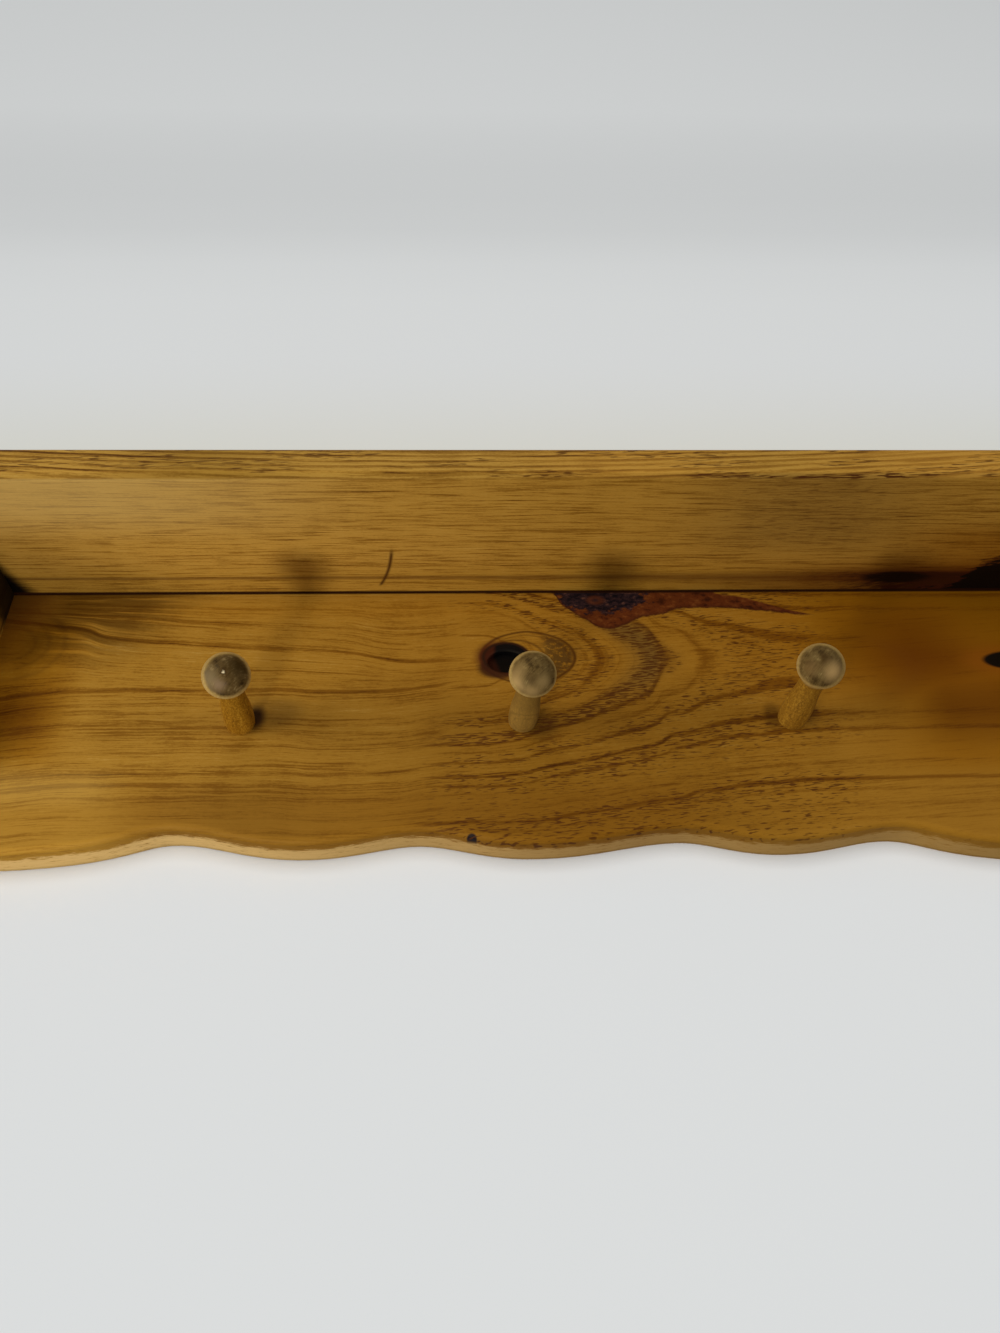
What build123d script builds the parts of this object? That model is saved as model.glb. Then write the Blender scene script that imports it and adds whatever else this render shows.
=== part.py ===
from build123d import *
import math
import os

# A shaker peg rail with a shelf. A scalloped pine rail runs between two end brackets, a shelf
# lies on all three, three turned pegs are glued into the rail, and two keyhole plates are let
# into its back to hang it by.
# Millimetres. X runs along the rail, Y points into the wall, Z is up, and left is -X.
# The origin lies on the wall plane, midway between the entry holes of the two keyhole plates.

os.makedirs("parts", exist_ok=True)

# ---- Boards ----
clear_width = 558.8  # between the brackets, which is the rail's length
rail_thickness = 19.0
shelf_thickness = 19.0
bracket_thickness = 19.0
shelf_depth = 107.0  # from the wall to the shelf's front edge
shelf_overhang = 6.4  # past the outer face of each bracket
shelf_corner_radius = 7.0  # the two front corners, seen from above
shelf_upper_radius = 2.5  # routed along the front and both ends
shelf_lower_radius = 4.0
keyhole_below_shelf = 38.0  # from the shelf's underside down to the keyholes' entry holes

# ---- Lower edge of the rail ----
# Sawn freehand, so the waves are a little uneven. Each turning point is (X, drop below the shelf).
scallop_points = (
    (-174.0, 140.6),
    (-113.0, 149.0),
    (-58.5, 142.7),
    (-4.0, 150.0),
    (68.0, 142.5),
    (117.0, 149.4),
    (169.0, 143.0),
)
lobe_fullness = 0.45  # how long a wave stays level at a lobe, as a share of the half wave
valley_fullness = 0.3  # the same at a valley
left_end_drop = 153.0  # where the rail meets a bracket
right_end_drop = 155.5
end_wave_turn = 0.2  # where the last wave swings down, as a share of its width
rail_edge_radius = 3.0  # routed along the front of the lower edge

# ---- Open knot in the rail's face ----
knot_x = -14.0
knot_drop = 46.5  # its centre below the shelf
knot_width = 19.0
knot_height = 13.5
knot_depth = 3.5
knot_rim_radius = 1.2

# ---- Pegs ----
# The holes are marked out and drilled by hand, so the pegs are a little unevenly spaced and each
# leans its own way. Each lean is in degrees, (to the right, upwards).
left_peg_x = -147.5
middle_peg_x = -6.9
right_peg_x = 129.9
left_peg_lean = (2.0, -1.5)
middle_peg_lean = (4.0, -2.0)
right_peg_lean = (4.0, 2.5)
peg_drop = 83.3  # from the shelf down to the hole
peg_reach = 53.8  # from the rail's face to the top of the head
peg_head_radius = 11.2
peg_dome_height = 10.8  # from the widest place of the head to its top
peg_neck_radius = 6.0
peg_neck_reach = 30.5  # from the rail's face to the narrowest place
peg_barrel_radius = 7.4
peg_barrel_reach = 7.0  # from the rail's face to the fullest place of the shank
peg_base_radius = 6.9
peg_base_trim = 1.0  # left on the shank below its base, then cut flush with the rail's face
peg_tenon_radius = 6.35
peg_tenon_length = 15.0
peg_tenon_chamfer = 0.8
glue_gap = 0.1  # round the tenon
glue_well = 1.0  # past the tenon's end

# ---- Brackets ----
bracket_depth = 95.0  # from the wall to the nose, under the shelf
bracket_drop = 168.0  # from the shelf down to the toe
bracket_nose = 13.0  # height of the upright nose under the shelf
bracket_nose_radius = 4.0
bracket_waist_depth = 50.0  # where the cove above turns into the long curve below
bracket_waist_drop = 72.0
bracket_toe_depth = 27.0
bracket_toe_radius = 11.0
bracket_edge_radius = 2.5

# ---- Screws and plugs that join the boards ----
screw_length = 38.0
screw_shank_radius = 2.1
screw_head_radius = 4.1
screw_point = 6.0  # length of the tapered tip
screw_clearance = 0.1  # round the shank and the head
countersink_angle = 82.0
driver_slot_width = 1.0
driver_slot_depth = 1.0
plug_radius = 4.75
plug_length = 6.0
plug_clearance = 0.04
plug_chamfer = 0.5
rail_screw_inset = 40.0  # from the rail's end to the outer screw under the shelf
bracket_screw_setback = 20.0  # from the wall; the other screw goes down at the bracket's waist
end_screw_drops = (32.0, 122.0)  # below the shelf, through each bracket into the rail

# ---- Keyhole plates ----
keyhole_spacing = 406.4
plate_thickness = 1.6
plate_width = 16.0
plate_top = 29.0  # above the entry hole's centre
plate_bottom = 15.0  # below it
plate_corner_radius = 3.0
plate_fit = 0.1  # round the plate in its recess
entry_hole_radius = 4.75
hanging_slot_width = 4.8
hanging_slot_rise = 13.0  # from the entry hole's centre up to where the wall screw rests
head_pocket_margin = 1.0  # of the pocket behind the plate, round the entry hole
head_pocket_depth = 6.0  # behind the plate
plate_screw_inset = 4.5  # from the plate's upper and lower ends
plate_screw_length = 10.0
plate_screw_shank_radius = 1.2
plate_screw_head_radius = 2.3
plate_screw_point = 3.0
plate_slot_width = 0.6  # the driver slots of the plates' screws
plate_slot_depth = 0.5

# ---- Places that follow from the sizes ----
shelf_underside = keyhole_below_shelf
shelf_top = shelf_underside + shelf_thickness
rail_half = clear_width / 2
rail_end_heights = (shelf_underside - left_end_drop, shelf_underside - right_end_drop)
bracket_outside = rail_half + bracket_thickness
shelf_length = 2 * (bracket_outside + shelf_overhang)
peg_height = shelf_underside - peg_drop
plate_height = plate_top + plate_bottom
plate_middle = (plate_top - plate_bottom) / 2
head_pocket_radius = entry_hole_radius + head_pocket_margin

sides = {"left": -1, "right": 1}
peg_places = {
    "left_peg": (left_peg_x, left_peg_lean),
    "middle_peg": (middle_peg_x, middle_peg_lean),
    "right_peg": (right_peg_x, right_peg_lean),
}

# Planes to work from: the shelf's top, the rail's front, and the wall seen from behind it
shelf_face = Plane.XY.offset(shelf_top)
rail_face = Plane.XZ.offset(rail_thickness)
wall = Plane(origin=(0, 0, 0), x_dir=(-1, 0, 0), z_dir=(0, 1, 0))


def outer_face(side):
    """The outer face of a bracket. Its own x runs along Y, backwards on the left."""
    return Plane(origin=(side * bracket_outside, 0, 0), x_dir=(0, side, 0), z_dir=(side, 0, 0))


def peg_seat(x, lean):
    """Where a peg's axis passes the rail's face. Its own y runs along the peg, into the rail."""
    across, upwards = lean
    return Location((x, -rail_thickness, peg_height), (-upwards, 0, across))


def spots_on(plane, spots):
    """Places on a plane, given in its own x and y."""
    return [plane.location * Location((u, v, 0)) for u, v in spots]


# Where the screws go in: through the shelf's top into the rail and into each bracket,
# through each bracket's outer face into the rail, and through each keyhole plate
rail_screw_reach = rail_half - rail_screw_inset
shelf_to_rail = [(x, -rail_thickness / 2) for x in (-rail_screw_reach, 0, rail_screw_reach)]


def shelf_to_bracket(side):
    middle = side * (rail_half + bracket_thickness / 2)
    return [(middle, -bracket_screw_setback), (middle, -bracket_waist_depth)]


def bracket_to_rail(side):
    middle = -side * rail_thickness / 2
    return [(middle, shelf_underside - drop) for drop in end_screw_drops]


def plate_to_rail(side):
    across = -side * keyhole_spacing / 2
    heights = (plate_top - plate_screw_inset, plate_screw_inset - plate_bottom)
    return [(across, height) for height in heights]


def cut_screw_seat():
    """Cut a plug's counterbore and, below it, the seat and the hole of a board screw."""
    Hole(plug_radius + plug_clearance, depth=plug_length)
    with Locations((0, 0, -plug_length)):
        CounterSinkHole(
            screw_shank_radius + screw_clearance,
            screw_head_radius + screw_clearance,
            depth=screw_length + screw_clearance,
            counter_sink_angle=countersink_angle,
        )


# ---- Back rail: one board with a scalloped lower edge ----
def draw_scallop():
    """The lower edge, one curve for each half wave and one out to each end."""
    turns = [(x, shelf_underside - drop) for x, drop in scallop_points]
    for start, end in zip(turns[:-1], turns[1:]):
        width = end[0] - start[0]
        falling = end[1] < start[1]
        leaving = valley_fullness if falling else lobe_fullness
        arriving = lobe_fullness if falling else valley_fullness
        Bezier(
            start,
            (start[0] + leaving * width, start[1]),
            (end[0] - arriving * width, end[1]),
            end,
        )
    for side, start, low in zip((-1, 1), (turns[0], turns[-1]), rail_end_heights):
        width = side * rail_half - start[0]
        Bezier(
            start,
            (start[0] + end_wave_turn * width, start[1]),
            (start[0] + end_wave_turn * width, low),
            (side * rail_half, low),
        )


with BuildPart() as back_rail:
    with BuildSketch(Plane.XZ):
        with BuildLine():
            Polyline(
                (-rail_half, rail_end_heights[0]),
                (-rail_half, shelf_underside),
                (rail_half, shelf_underside),
                (rail_half, rail_end_heights[1]),
            )
            draw_scallop()
        make_face()
    extrude(amount=rail_thickness)
    face = back_rail.faces().sort_by(Axis.Y)[0]
    fillet(face.edges().filter_by(GeomType.BSPLINE), radius=rail_edge_radius)

    with BuildSketch(rail_face):
        with Locations((knot_x, shelf_underside - knot_drop)):
            Ellipse(knot_width / 2, knot_height / 2)
    extrude(amount=-knot_depth, mode=Mode.SUBTRACT)
    face = back_rail.faces().sort_by(Axis.Y)[0]
    fillet(face.edges().filter_by(GeomType.ELLIPSE), radius=knot_rim_radius)

    for x, lean in peg_places.values():
        with Locations(peg_seat(x, lean) * Location((0, 0, 0), (90, 0, 0))):
            Hole(peg_tenon_radius + glue_gap, depth=peg_tenon_length + glue_well)

    for side in sides.values():
        across = -side * keyhole_spacing / 2
        with BuildSketch(wall):
            with Locations((across, plate_middle)):
                RectangleRounded(
                    plate_width + 2 * plate_fit,
                    plate_height + 2 * plate_fit,
                    plate_corner_radius + plate_fit,
                )
        extrude(amount=-plate_thickness, mode=Mode.SUBTRACT)
        with BuildSketch(wall.offset(-plate_thickness)):
            with Locations((across, hanging_slot_rise / 2)):
                SlotCenterToCenter(hanging_slot_rise, 2 * head_pocket_radius, rotation=90)
        extrude(amount=-head_pocket_depth, mode=Mode.SUBTRACT)
        with Locations(spots_on(wall, plate_to_rail(side))):
            Hole(plate_screw_shank_radius + screw_clearance, plate_screw_length + screw_clearance)
        with Locations(spots_on(outer_face(side), bracket_to_rail(side))):
            cut_screw_seat()
    with Locations(spots_on(shelf_face, shelf_to_rail)):
        cut_screw_seat()
back_rail.part.label = "back_rail"
export_step(back_rail.part, "parts/back_rail.step")


# ---- Shelf: one board, routed round three sides and screwed down from above ----
with BuildPart() as shelf_board:
    with BuildSketch(shelf_face):
        with Locations((0, -shelf_depth / 2)):
            Rectangle(shelf_length, shelf_depth)
    extrude(amount=-shelf_thickness)
    fillet(shelf_board.edges().filter_by(Axis.Z).group_by(Axis.Y)[0], shelf_corner_radius)
    upper = shelf_board.faces().sort_by(Axis.Z)[-1].edges()
    fillet(upper.sort_by(Axis.Y)[:-1], radius=shelf_upper_radius)
    lower = shelf_board.faces().sort_by(Axis.Z)[0].edges()
    fillet(lower.sort_by(Axis.Y)[:-1], radius=shelf_lower_radius)
    with Locations(spots_on(shelf_face, shelf_to_rail)):
        cut_screw_seat()
    for side in sides.values():
        with Locations(spots_on(shelf_face, shelf_to_bracket(side))):
            cut_screw_seat()
shelf_board.part.label = "shelf_board"
export_step(shelf_board.part, "parts/shelf_board.step")


# ---- Brackets: a nose, a cove and a long curve down to the toe, the same at both ends ----
for end, side in sides.items():
    nose_low = shelf_underside - bracket_nose
    cove_high = nose_low - bracket_nose_radius
    cove_start = bracket_nose_radius - bracket_depth
    waist = (-bracket_waist_depth, shelf_underside - bracket_waist_drop)
    toe_low = shelf_underside - bracket_drop
    toe_high = toe_low + bracket_toe_radius
    with BuildPart() as bracket:
        with BuildSketch(Plane.YZ.offset(side * rail_half)):
            with BuildLine():
                Polyline(
                    (bracket_toe_radius - bracket_toe_depth, toe_low),
                    (0, toe_low),
                    (0, shelf_underside),
                    (-bracket_depth, shelf_underside),
                    (-bracket_depth, nose_low),
                )
                TangentArc((-bracket_depth, nose_low), (cove_start, cove_high), tangent=(0, -1))
                Bezier(
                    (cove_start, cove_high),
                    (waist[0], cove_high),
                    (waist[0], (cove_high + waist[1]) / 2),
                    waist,
                )
                Bezier(
                    waist,
                    (waist[0], (waist[1] + toe_high) / 2),
                    (-bracket_toe_depth, (waist[1] + toe_high) / 2),
                    (-bracket_toe_depth, toe_high),
                )
                TangentArc(
                    (-bracket_toe_depth, toe_high),
                    (bracket_toe_radius - bracket_toe_depth, toe_low),
                    tangent=(0, -1),
                )
            make_face()
        extrude(amount=side * bracket_thickness)
        outline = bracket.faces().filter_by(Axis.X).edges()
        curved = outline.filter_by(lambda e: e.geom_type != GeomType.LINE)
        nose = outline.filter_by(Axis.Z).group_by(Axis.Y)[0]
        fillet(curved + nose, radius=bracket_edge_radius)
        with Locations(spots_on(shelf_face, shelf_to_bracket(side))):
            cut_screw_seat()
        with Locations(spots_on(outer_face(side), bracket_to_rail(side))):
            cut_screw_seat()
    bracket.part.label = f"{end}_bracket"
    export_step(bracket.part, f"parts/{end}_bracket.step")


# ---- Pegs: turned, with a tenon, a barrel shank, a neck and a domed head ----
widest_reach = peg_reach - peg_dome_height
neck_start = (peg_barrel_reach + peg_neck_reach) / 2
head_start = (peg_neck_reach + widest_reach) / 2
tenon_waist = peg_tenon_radius - peg_tenon_chamfer
for name, (x, lean) in peg_places.items():
    # In the sketches x is the radius, and y points into the rail from its face
    seat = peg_seat(x, lean)
    turning_axis = Axis(Plane(seat).origin, Plane(seat).y_dir)
    with BuildPart() as peg:
        with BuildSketch(Plane(seat)):
            with BuildLine():
                Polyline(
                    (0, -peg_reach),
                    (0, peg_base_trim),
                    (peg_base_radius, peg_base_trim),
                )
                Bezier(
                    (peg_base_radius, peg_base_trim),
                    (peg_barrel_radius, -peg_barrel_reach / 3),
                    (peg_barrel_radius, -2 * peg_barrel_reach / 3),
                    (peg_barrel_radius, -peg_barrel_reach),
                )
                Bezier(
                    (peg_barrel_radius, -peg_barrel_reach),
                    (peg_barrel_radius, -neck_start),
                    (peg_neck_radius, -neck_start),
                    (peg_neck_radius, -peg_neck_reach),
                )
                Bezier(
                    (peg_neck_radius, -peg_neck_reach),
                    (peg_neck_radius, -head_start),
                    (peg_head_radius, -head_start),
                    (peg_head_radius, -widest_reach),
                )
                EllipticalCenterArc(
                    (0, -widest_reach),
                    peg_head_radius,
                    peg_dome_height,
                    start_angle=270,
                    arc_size=90,
                )
            make_face()
        revolve(axis=turning_axis)
        split(bisect_by=rail_face, keep=Keep.TOP)
        with BuildSketch(Plane(seat)):
            with BuildLine():
                Polyline(
                    (0, -peg_base_trim),
                    (0, peg_tenon_length),
                    (tenon_waist, peg_tenon_length),
                    (peg_tenon_radius, peg_tenon_length - peg_tenon_chamfer),
                    (peg_tenon_radius, -peg_base_trim),
                    close=True,
                )
            make_face()
        revolve(axis=turning_axis)
    peg.part.label = name
    export_step(peg.part, f"parts/{name}.step")


# ---- Screws and plugs, each a separate solid, grouped by the joint that they hold ----
def wood_screw(length, shank_radius, head_radius, point, slot_width, slot_depth):
    """A countersunk wood screw that points down, with the top of its head at the origin."""
    head_height = (head_radius - shank_radius) / math.tan(math.radians(countersink_angle / 2))
    with BuildPart() as screw:
        with BuildSketch(Plane.XZ):
            with BuildLine():
                Polyline(
                    (0, 0),
                    (head_radius, 0),
                    (shank_radius, -head_height),
                    (shank_radius, point - length),
                    (0, -length),
                    close=True,
                )
            make_face()
        revolve(axis=Axis.Z)
        with BuildSketch(Plane.XY):
            Rectangle(2 * head_radius, slot_width)
        extrude(amount=-slot_depth, mode=Mode.SUBTRACT)
    return screw.part


def fasten(label, fastener, places):
    """Write a group of like fasteners, one at each place."""
    with BuildPart() as group:
        with Locations(places):
            add(fastener)
    group.part.label = label
    export_step(group.part, f"parts/{label}.step")


board_screw = wood_screw(
    screw_length,
    screw_shank_radius,
    screw_head_radius,
    screw_point,
    driver_slot_width,
    driver_slot_depth,
)
plate_screw = wood_screw(
    plate_screw_length,
    plate_screw_shank_radius,
    plate_screw_head_radius,
    plate_screw_point,
    plate_slot_width,
    plate_slot_depth,
)

with BuildPart() as wood_plug:
    with BuildSketch(Plane.XY):
        Circle(plug_radius)
    extrude(amount=-plug_length)
    chamfer(wood_plug.faces().sort_by(Axis.Z)[0].edges(), plug_chamfer)

below_plugs = shelf_face.offset(-plug_length)
fasten("shelf_to_rail_screws", board_screw, spots_on(below_plugs, shelf_to_rail))
fasten("shelf_to_rail_plugs", wood_plug.part, spots_on(shelf_face, shelf_to_rail))
for end, side in sides.items():
    outside = outer_face(side)
    from_above = shelf_to_bracket(side)
    from_outside = bracket_to_rail(side)
    behind_plugs = outside.offset(-plug_length)
    fasten(f"shelf_to_{end}_bracket_screws", board_screw, spots_on(below_plugs, from_above))
    fasten(f"shelf_to_{end}_bracket_plugs", wood_plug.part, spots_on(shelf_face, from_above))
    fasten(f"{end}_bracket_to_rail_screws", board_screw, spots_on(behind_plugs, from_outside))
    fasten(f"{end}_bracket_plugs", wood_plug.part, spots_on(outside, from_outside))
    fasten(f"{end}_keyhole_plate_screws", plate_screw, spots_on(wall, plate_to_rail(side)))


# ---- Keyhole plates: a wall screw's head goes in at the round hole and slides up the slot ----
for end, side in sides.items():
    across = -side * keyhole_spacing / 2
    with BuildPart() as plate:
        with BuildSketch(wall):
            with Locations((across, plate_middle)):
                RectangleRounded(plate_width, plate_height, plate_corner_radius)
            with Locations((across, 0)):
                Circle(entry_hole_radius, mode=Mode.SUBTRACT)
            with Locations((across, hanging_slot_rise / 2)):
                SlotCenterToCenter(
                    hanging_slot_rise, hanging_slot_width, rotation=90, mode=Mode.SUBTRACT
                )
        extrude(amount=-plate_thickness)
        with Locations(spots_on(wall, plate_to_rail(side))):
            CounterSinkHole(
                plate_screw_shank_radius + screw_clearance,
                plate_screw_head_radius + screw_clearance,
                depth=plate_thickness,
                counter_sink_angle=countersink_angle,
            )
    plate.part.label = f"{end}_keyhole_plate"
    export_step(plate.part, f"parts/{end}_keyhole_plate.step")
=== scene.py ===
import math

import bpy
from mathutils import Matrix, Vector

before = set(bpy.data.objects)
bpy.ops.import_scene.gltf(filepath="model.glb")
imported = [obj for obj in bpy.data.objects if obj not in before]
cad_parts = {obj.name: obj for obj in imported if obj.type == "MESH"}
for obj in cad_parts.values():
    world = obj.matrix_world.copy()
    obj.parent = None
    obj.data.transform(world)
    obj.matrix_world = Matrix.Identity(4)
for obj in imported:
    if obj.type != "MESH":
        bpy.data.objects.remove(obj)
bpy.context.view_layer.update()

# ---- Back rail ----
# One pine board, flat sawn, so its growth rings run out in long nested arches. It holds an open
# knot, a black and red knot under the shelf, and a small dark knot towards each end. Its lower
# edge is sawn in waves and routed round, then the whole board is stained and waxed.
SHELF_UNDERSIDE = 38.0  # millimetres above the middle of the two keyholes
RAIL_FRONT = 19.0  # millimetres out from the wall
MILLIMETRES = 1000.0  # in one metre


class Reading:
    """A number read at every point of a piece, as the output of one node."""

    def __init__(self, tree, socket):
        self.tree, self.socket = tree, socket

    def work(self, operation, *others):
        node = self.tree.nodes.new("ShaderNodeMath")
        node.operation = operation
        for target, value in zip(node.inputs, (self, *others)):
            feed(self.tree, target, value)
        return Reading(self.tree, node.outputs[0])

    def __add__(self, other):
        return self.work("ADD", other)

    __radd__ = __add__

    def __mul__(self, other):
        return self.work("MULTIPLY", other)

    __rmul__ = __mul__

    def __sub__(self, other):
        return self.work("SUBTRACT", other)

    def __rsub__(self, other):
        return self * -1.0 + other

    def __truediv__(self, other):
        return self.work("DIVIDE", other)

    def __abs__(self):
        return self.work("ABSOLUTE")

    def __or__(self, other):
        return self.work("MAXIMUM", other)


def feed(tree, target, value):
    """Give a node's input a reading, a colour's socket or a plain value."""
    if isinstance(value, Reading):
        tree.links.new(value.socket, target)
    elif isinstance(value, bpy.types.NodeSocket):
        tree.links.new(value, target)
    else:
        target.default_value = value


def between(reading, low, high, easing="LINEAR"):
    """0 at low, 1 at high, and held outside; low may be the larger number."""
    node = reading.tree.nodes.new("ShaderNodeMapRange")
    node.interpolation_type = easing
    for name, value in (("Value", reading), ("From Min", low), ("From Max", high)):
        feed(reading.tree, node.inputs[name], value)
    return Reading(reading.tree, node.outputs["Result"])


def rise(reading, low, high):
    return between(reading, low, high, "SMOOTHSTEP")


def near(reading, place, reach):
    """1 at a place, easing to 0 at a reach on either side of it."""
    return rise(abs(reading - place), reach, 0.0)


def drawn(reading, points):
    """A line drawn through points, read at a place along it."""
    tree = reading.tree
    starts, heights = zip(*points)
    low, high = min(heights), max(heights)
    span = starts[-1] - starts[0]
    node = tree.nodes.new("ShaderNodeFloatCurve")
    line = node.mapping.curves[0]
    for start, height in points[1:-1]:
        line.points.new((start - starts[0]) / span, (height - low) / (high - low))
    line.points[0].location = (0.0, (heights[0] - low) / (high - low))
    line.points[-1].location = (1.0, (heights[-1] - low) / (high - low))
    for point in line.points:
        point.handle_type = "AUTO_CLAMPED"
    node.mapping.update()
    feed(tree, node.inputs["Value"], (reading - starts[0]) / span)
    return Reading(tree, node.outputs[0]) * (high - low) + low


def place(tree, x, y, z):
    node = tree.nodes.new("ShaderNodeCombineXYZ")
    for target, value in zip(node.inputs, (x, y, z)):
        feed(tree, target, value)
    return node.outputs[0]


def grown(x, y, z, detail=2.0, roughness=0.5):
    """Natural unevenness from 0 to 1 over coordinates that are scaled to its size."""
    tree = next(part.tree for part in (x, y, z) if isinstance(part, Reading))
    node = tree.nodes.new("ShaderNodeTexNoise")
    node.inputs["Scale"].default_value = 1.0
    node.inputs["Detail"].default_value = detail
    node.inputs["Roughness"].default_value = roughness
    tree.links.new(place(tree, x, y, z), node.inputs["Vector"])
    return Reading(tree, node.outputs[0])


def oval(x, y, middle, size):
    """0 at the middle of an oval and 1 on its outline."""
    across, up = (x - middle[0]) / size[0], (y - middle[1]) / size[1]
    return (across * across + up * up).work("SQRT")


def stain(red, green, blue):
    """A colour from its usual 0 to 255 values, as the light that it gives back."""
    parts = [v / 255 for v in (red, green, blue)]
    return (*(v / 12.92 if v < 0.04045 else ((v + 0.055) / 1.055) ** 2.4 for v in parts), 1.0)


def tint(tree, share, first, second, way="MIX"):
    """Pass from the first colour to the second by a share."""
    node = tree.nodes.new("ShaderNodeMix")
    node.data_type, node.blend_type = "RGBA", way
    targets = (node.inputs[0], node.inputs[6], node.inputs[7])
    for target, value in zip(targets, (share, first, second)):
        feed(tree, target, value)
    return node.outputs[2]


def deepen(tree, share, colour, shade):
    """Multiply a colour by a shade, as far as a share says."""
    return tint(tree, share, colour, shade, "MULTIPLY")


def graded(reading, steps, easing="EASE"):
    """A colour for each value, eased between the steps."""
    node = reading.tree.nodes.new("ShaderNodeValToRGB")
    node.color_ramp.interpolation = easing
    stops = node.color_ramp.elements
    while len(stops) < len(steps):
        stops.new(0.5)
    for stop, (value, colour) in zip(stops, steps):
        stop.position, stop.color = value, colour
    feed(reading.tree, node.inputs[0], reading)
    return node.outputs[0]


def new_finish(name):
    """An empty finish, with the surface's place in millimetres and the way that it faces."""
    finish = bpy.data.materials.new(name)
    finish.use_nodes = True
    tree = finish.node_tree
    surface = tree.nodes["Principled BSDF"]
    where = tree.nodes.new("ShaderNodeTexCoord")
    readings = []
    for output, size in (("Object", MILLIMETRES), ("Normal", 1.0)):
        parts = tree.nodes.new("ShaderNodeSeparateXYZ")
        tree.links.new(where.outputs[output], parts.inputs[0])
        readings += [Reading(tree, part) * size for part in parts.outputs]
    return finish, tree, surface, readings[:3], readings[3:]


def roughen(tree, surface, height, depth):
    """Raise the surface by a height from 0 to 1, times a depth in millimetres."""
    bump = tree.nodes.new("ShaderNodeBump")
    bump.inputs["Distance"].default_value = depth / MILLIMETRES
    feed(tree, bump.inputs["Height"], height)
    tree.links.new(bump.outputs[0], surface.inputs["Normal"])


RAIL_TONES = (
    (0.00, stain(80, 42, 8)),
    (0.30, stain(136, 90, 20)),
    (0.55, stain(173, 126, 42)),
    (1.00, stain(214, 174, 90)),
)
SAWN_EDGE = stain(236, 194, 122)
FLECK_BROWN = stain(82, 42, 12)
DIRT_BROWN = stain(44, 18, 6)
RESIN_AND_SHADE_BLACK = stain(10, 6, 6)
RESIN_RED_AND_SHADE = stain(84, 40, 6)
WAX_AMBER = stain(255, 226, 170)
WAX_GLOSS = 0.14
DULL_WOOD, WAX_SHINE = 0.62, 0.14  # roughness of the darkest wood, and how much less the palest has
GRAIN_DEPTH = 0.12  # millimetres
# The middle of the tones, and how much each part of the grain changes it
MIDDLE_TONE = 0.54
BANDED, FIBROUS, CLOUDED, PORED, STREAKED = 0.36, 0.64, 0.20, 0.32, 0.15
FLECKS_FROM = (0.655, 0.76)  # the unevenness at which a fleck starts and is whole


def pine_grain(along, ring, across, side, lined=0.18):
    """How pale stained pine is: soft bands and late-wood lines along the rings, and streaks and
    fibres that run straight along the board."""
    bands = grown(along * 0.003, ring * 0.09, side * 0.02, 2.0)
    lines = near(grown(along * 0.0035, ring * 0.34, side * 0.05, 2.0), 0.5, 0.055)
    breaks = rise(grown(along * 0.014, ring * 0.2, side * 0.1, 1.0), 0.38, 0.62)
    streaks = grown(along * 0.024, across * 0.9, side * 0.3, 2.0, 0.6)
    fibres = grown(along * 0.05, across * 1.4, side * 1.2, 3.0, 0.75)
    clouds = grown(along * 0.07, across * 0.03, side * 0.05, 2.0)
    pores = grown(along * 0.5, across * 1.5, side * 1.5, 2.0, 0.7)
    tone = MIDDLE_TONE + (bands - 0.5) * BANDED + (fibres - 0.5) * FIBROUS
    tone = tone + (clouds - 0.5) * CLOUDED
    tone = tone + (pores - 0.5) * PORED - rise(streaks, 0.56, 0.72) * STREAKED
    return tone - lines * breaks * lined


def short_flecks(along, across, deep, amount):
    """Short dark dashes along the grain, more of them where the amount is higher."""
    dashes = grown(along * 0.20, across * 1.5, deep * 0.25, 1.0)
    return rise(dashes + amount * 0.13, *FLECKS_FROM)


def pine_surface(tree, surface, tone, fleck, colour):
    """Lay the flecks and the wax over a colour, and sink the dark grain a little."""
    feed(tree, surface.inputs["Base Color"], tint(tree, fleck, colour, FLECK_BROWN))
    surface.inputs["Specular IOR Level"].default_value = WAX_GLOSS
    surface.inputs["Specular Tint"].default_value = WAX_AMBER
    feed(tree, surface.inputs["Roughness"], DULL_WOOD - tone * WAX_SHINE)
    roughen(tree, surface, tone - fleck * 0.5, GRAIN_DEPTH)


# Three growth rings of the rail's left half, as (place along the rail, drop below the shelf), and
# the steps of growth from the shelf down to each of them
UPPER_LINE = (
    (-300.0, 12.0),
    (-220.0, 16.0),
    (-172.0, 20.0),
    (-100.0, 24.0),
    (-67.0, 29.0),
    (-51.0, 28.5),
    (-26.0, 19.0),
    (20.0, 12.0),
    (40.0, 12.0),
)
MIDDLE_LINE = (
    (-300.0, 14.0),
    (-262.0, 20.0),
    (-237.0, 24.0),
    (-222.0, 30.0),
    (-172.0, 35.5),
    (-99.0, 41.0),
    (-60.0, 47.0),
    (-32.0, 46.0),
    (40.0, 46.5),
)
LOWER_LINE = (
    (-300.0, 74.0),
    (-274.0, 69.0),
    (-247.0, 65.0),
    (-222.0, 63.5),
    (-132.0, 64.0),
    (-99.0, 65.6),
    (-77.0, 65.0),
    (-52.0, 62.0),
    (-26.0, 59.0),
    (40.0, 60.0),
)
LINE_STEPS = (23.0, 15.0, 27.0)
PLAIN_LINES, ARCHED_LINES = 0.31, 0.42  # how strongly the rings show in the two parts
QUIET_TONE = 0.52  # at the right end and along the lower edge, where the grain hardly shows
# The dark rings among them, as (steps of growth, how dark)
STRAIGHT_RINGS = (
    (12.0, 0.25),
    (23.0, 0.5),
    (38.0, 0.85),
    (65.0, 0.9),
    (74.0, 0.25),
    (85.0, 0.5),
    (91.0, 0.3),
    (101.0, 0.3),
    (113.0, 0.35),
    (120.0, 0.5),
    (127.0, 0.4),
    (136.0, 0.4),
    (144.0, 0.35),
)
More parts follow.
